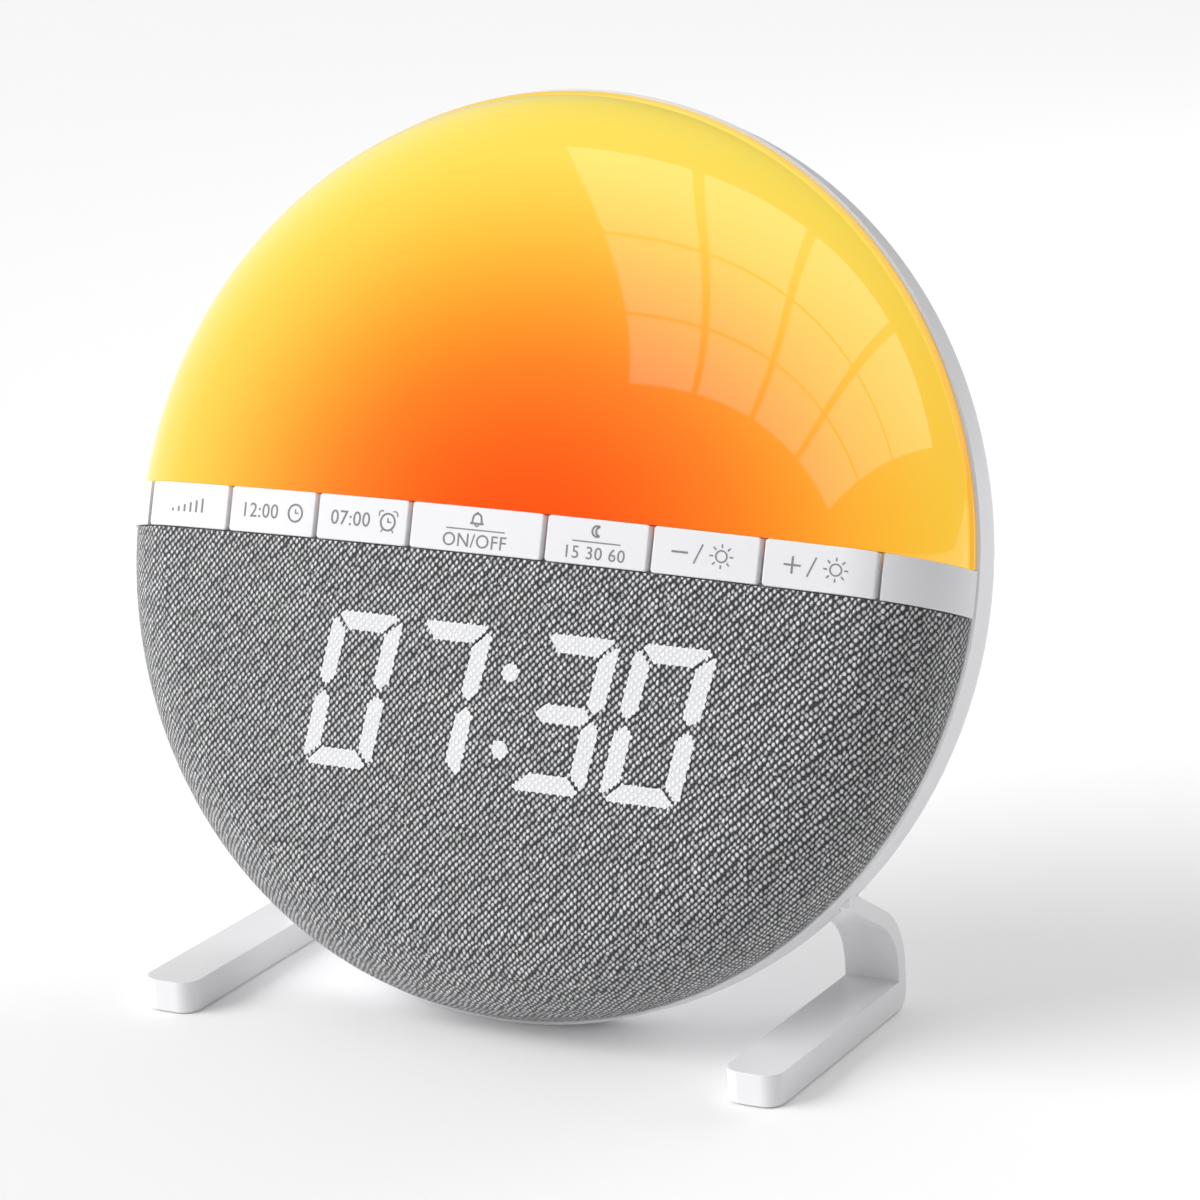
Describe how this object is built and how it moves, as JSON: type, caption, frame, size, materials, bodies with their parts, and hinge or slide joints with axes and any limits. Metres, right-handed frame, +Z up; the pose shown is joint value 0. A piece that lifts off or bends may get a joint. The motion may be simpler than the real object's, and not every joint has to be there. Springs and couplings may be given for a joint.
{
  "type": "sunrise alarm clock",
  "caption": "Round bedside sunrise alarm clock on bent legs: translucent light dome above, cloth-covered display below, a strip of push buttons between.",
  "frame": {"origin": "on the surface the clock stands on, under the middle of its outer box", "axes": "+Z up, the face looks along -Y and leans back, +X to the viewer's right"},
  "size_m": [0.171, 0.0786, 0.1641],
  "materials": {
    "white_shell": "fine satin white",
    "white_leg": "fine satin white",
    "white_button": "satin white",
    "grey_frame": "matt",
    "diffuser": "smooth translucent, lit from inside",
    "cloth": "coarse woven, light on dark",
    "black_plastic": "matt",
    "switch_metal": "stamped",
    "circuit_board": "solder mask",
    "board_aluminium": "white mask",
    "led": "clear",
    "reflector": "gloss white",
    "segment": "lit white",
    "pin_brass": "plated",
    "cell_steel": "plated",
    "cone": "coated paper",
    "foam": "closed cell foam",
    "pad_rubber": "matt",
    "screw_steel": "plated",
    "lead_skin": "satin"
  },
  "bodies": {
    "clock": {"rear_housing": "white_shell", "mid_frame": "grey_frame", "diffuser_dome": "diffuser", "front_baffle": "grey_frame", "cloth_cover": "cloth", "button_frame": "white_button", "switch_bodies": "switch_metal", "button_board": "circuit_board", "light_board": "board_aluminium", "sunrise_leds": "led", "reflector_tray": "reflector", "display_board": "circuit_board", "display_case": "black_plastic", "display_segments": "segment", "main_board": "circuit_board", "board_parts": "black_plastic", "board_headers": "pin_brass", "power_inlet": "black_plastic", "cell_holder": "black_plastic", "coin_cell": "cell_steel", "speaker_basket": "switch_metal", "speaker_cone": "cone", "speaker_magnet": "cell_steel", "speaker_gasket": "foam", "left_leg": "white_leg", "right_leg": "white_leg", "foot_pads": "pad_rubber", "housing_screws": "screw_steel", "leg_screws": "screw_steel", "board_screws": "screw_steel", "light_lead": "lead_skin", "speaker_lead": "lead_skin"},
    "dimmer_button": {"dimmer_button": "white_button", "dimmer_plunger": "black_plastic"},
    "time_button": {"time_button": "white_button", "time_plunger": "black_plastic"},
    "alarm_set_button": {"alarm_set_button": "white_button", "alarm_set_plunger": "black_plastic"},
    "alarm_switch_button": {"alarm_switch_button": "white_button", "alarm_switch_plunger": "black_plastic"},
    "sleep_button": {"sleep_button": "white_button", "sleep_plunger": "black_plastic"},
    "brightness_down_button": {"brightness_down_button": "white_button", "brightness_down_plunger": "black_plastic"},
    "brightness_up_button": {"brightness_up_button": "white_button", "brightness_up_plunger": "black_plastic"},
    "battery_door": {"battery_door": "white_shell"}
  },
  "joints": [
    {"name": "dimmer_press", "type": "slide", "parent": "clock", "child": "dimmer_button", "axis": [0, 0.9245, -0.3811], "range_m": [0, 0.0006], "stiffness_N_per_m": 600},
    {"name": "time_press", "type": "slide", "parent": "clock", "child": "time_button", "axis": [0, 0.9245, -0.3811], "range_m": [0, 0.0006], "stiffness_N_per_m": 600},
    {"name": "alarm_set_press", "type": "slide", "parent": "clock", "child": "alarm_set_button", "axis": [0, 0.9245, -0.3811], "range_m": [0, 0.0006], "stiffness_N_per_m": 600},
    {"name": "alarm_switch_press", "type": "slide", "parent": "clock", "child": "alarm_switch_button", "axis": [0, 0.9245, -0.3811], "range_m": [0, 0.0006], "stiffness_N_per_m": 600},
    {"name": "sleep_press", "type": "slide", "parent": "clock", "child": "sleep_button", "axis": [0, 0.9245, -0.3811], "range_m": [0, 0.0006], "stiffness_N_per_m": 600},
    {"name": "brightness_down_press", "type": "slide", "parent": "clock", "child": "brightness_down_button", "axis": [0, 0.9245, -0.3811], "range_m": [0, 0.0006], "stiffness_N_per_m": 600},
    {"name": "brightness_up_press", "type": "slide", "parent": "clock", "child": "brightness_up_button", "axis": [0, 0.9245, -0.3811], "range_m": [0, 0.0006], "stiffness_N_per_m": 600},
    {"name": "battery_door_twist", "type": "hinge", "parent": "clock", "child": "battery_door", "pos_m": [0, 0.02868, 0.08538], "axis": [0, 0.9573, -0.289], "range_deg": [0, 60]}
  ]
}
